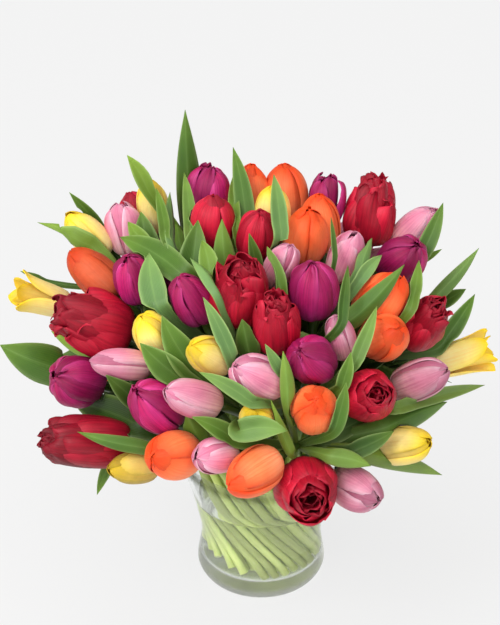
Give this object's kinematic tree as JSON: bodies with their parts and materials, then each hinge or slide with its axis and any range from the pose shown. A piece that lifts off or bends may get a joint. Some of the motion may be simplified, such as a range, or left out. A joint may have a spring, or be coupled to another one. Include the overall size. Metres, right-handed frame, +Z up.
{
  "type": "tulips in a vase",
  "caption": "Full domed bunch of mixed single and double tulips with leaves, its spiral stems standing in water in a clear flared glass vase.",
  "frame": {"origin": "centre of the vase's foot, on the surface that it stands on", "axes": "+Z up, -Y towards the side that the picture shows, +X to the right of it"},
  "size_m": [0.483, 0.4224, 0.4874],
  "materials": {
    "clear_glass": "clear, slightly green-grey, polished",
    "water": "clear water, faintly green",
    "green_leaf": "fresh green leaves and pale green stems",
    "red_petal": "satin petals",
    "orange_petal": "satin petals",
    "yellow_petal": "satin petals",
    "pink_petal": "satin petals",
    "purple_petal": "satin petals"
  },
  "bodies": {
    "root": {"leafy_stems": "green_leaf", "orange_cluster_2b": "orange_petal", "orange_cluster_2e": "orange_petal", "orange_pair_a": "orange_petal", "orange_pair_b": "orange_petal", "orange_pair_c": "orange_petal", "orange_tulip_01": "orange_petal", "orange_tulip_02": "orange_petal", "orange_tulip_03": "orange_petal", "orange_tulip_04": "orange_petal", "pink_cluster_1a": "pink_petal", "pink_cluster_2c": "pink_petal", "pink_tulip_01": "pink_petal", "pink_tulip_02": "pink_petal", "pink_tulip_03": "pink_petal", "pink_tulip_04": "pink_petal", "pink_tulip_05": "pink_petal", "pink_tulip_06": "pink_petal", "pink_tulip_07": "pink_petal", "pink_tulip_08": "pink_petal", "pink_tulip_09": "pink_petal", "pink_tulip_10": "pink_petal", "pink_tulip_11": "pink_petal", "purple_cluster_1d": "purple_petal", "purple_tulip_01": "purple_petal", "purple_tulip_02": "purple_petal", "purple_tulip_03": "purple_petal", "purple_tulip_04": "purple_petal", "purple_tulip_05": "purple_petal", "purple_tulip_06": "purple_petal", "purple_tulip_07": "purple_petal", "purple_tulip_08": "purple_petal", "purple_tulip_09": "purple_petal", "red_cluster_1b": "red_petal", "red_cluster_2d": "red_petal", "red_pair": "red_petal", "red_tulip_01": "red_petal", "red_tulip_02": "red_petal", "red_tulip_03": "red_petal", "red_tulip_04": "red_petal", "red_tulip_05": "red_petal", "red_tulip_06": "red_petal", "red_tulip_07": "red_petal", "red_tulip_08": "red_petal", "red_tulip_09": "red_petal", "vase": "clear_glass", "water": "water", "yellow_cluster_1c": "yellow_petal", "yellow_cluster_2a": "yellow_petal", "yellow_tulip_01": "yellow_petal", "yellow_tulip_02": "yellow_petal", "yellow_tulip_03": "yellow_petal", "yellow_tulip_04": "yellow_petal", "yellow_tulip_05": "yellow_petal", "yellow_tulip_06": "yellow_petal", "yellow_tulip_07": "yellow_petal", "yellow_tulip_08": "yellow_petal", "yellow_tulip_09": "yellow_petal", "yellow_tulip_10": "yellow_petal", "yellow_tulip_11": "yellow_petal"}
  },
  "joints": []
}
